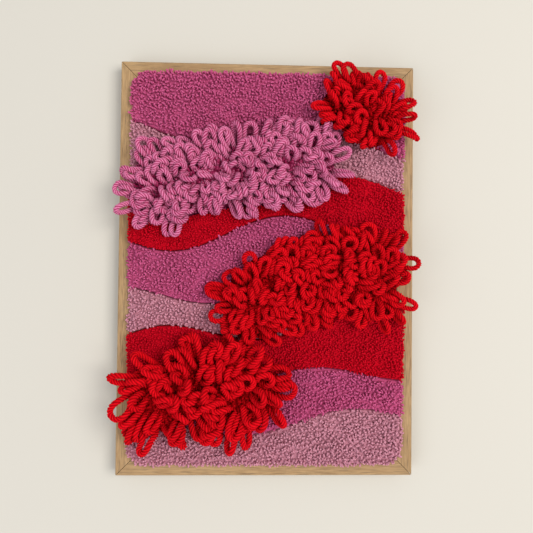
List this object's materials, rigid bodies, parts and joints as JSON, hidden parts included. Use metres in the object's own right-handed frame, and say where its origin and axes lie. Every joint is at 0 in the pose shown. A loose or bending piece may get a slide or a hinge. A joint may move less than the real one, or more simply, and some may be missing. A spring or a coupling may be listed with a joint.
{
  "type": "framed tufted textile",
  "caption": "Slim portrait wooden picture frame holding a tufted textile: wavy bands of short pile in pinks and red, with raised clouds of long yarn loops.",
  "frame": {"origin": "centre of the back of the frame, on which the part lies", "axes": "+X to the right across the picture, +Y up the picture, +Z out of its face"},
  "size_m": [0.2433, 0.3199, 0.0485],
  "materials": {
    "oak": "pale, lightly oiled",
    "board": "bare fibreboard",
    "ground_cloth": "plain weave",
    "pale_yarn": "cut wool pile",
    "magenta_yarn": "cut wool pile",
    "red_yarn": "cut wool pile",
    "pink_loop_yarn": "plied wool loops",
    "red_loop_yarn": "plied wool loops",
    "thick_red_yarn": "thick plied wool loops"
  },
  "bodies": {
    "root": {"back_panel": "board", "bar_bottom": "oak", "bar_left": "oak", "bar_right": "oak", "bar_top": "oak", "magenta_pile_low": "magenta_yarn", "magenta_pile_low_part_2": "magenta_yarn", "magenta_pile_middle": "magenta_yarn", "magenta_pile_middle_part_2": "magenta_yarn", "magenta_pile_top": "magenta_yarn", "pale_pile_bottom": "pale_yarn", "pale_pile_high": "pale_yarn", "pale_pile_high_part_2": "pale_yarn", "pale_pile_high_part_3": "pale_yarn", "pale_pile_middle": "pale_yarn", "pink_loops": "pink_loop_yarn", "red_corner_loops": "red_loop_yarn", "red_loops": "red_loop_yarn", "red_pile_high": "red_yarn", "red_pile_low": "red_yarn", "thick_red_loops": "thick_red_yarn", "tufting_cloth": "ground_cloth"}
  },
  "joints": []
}
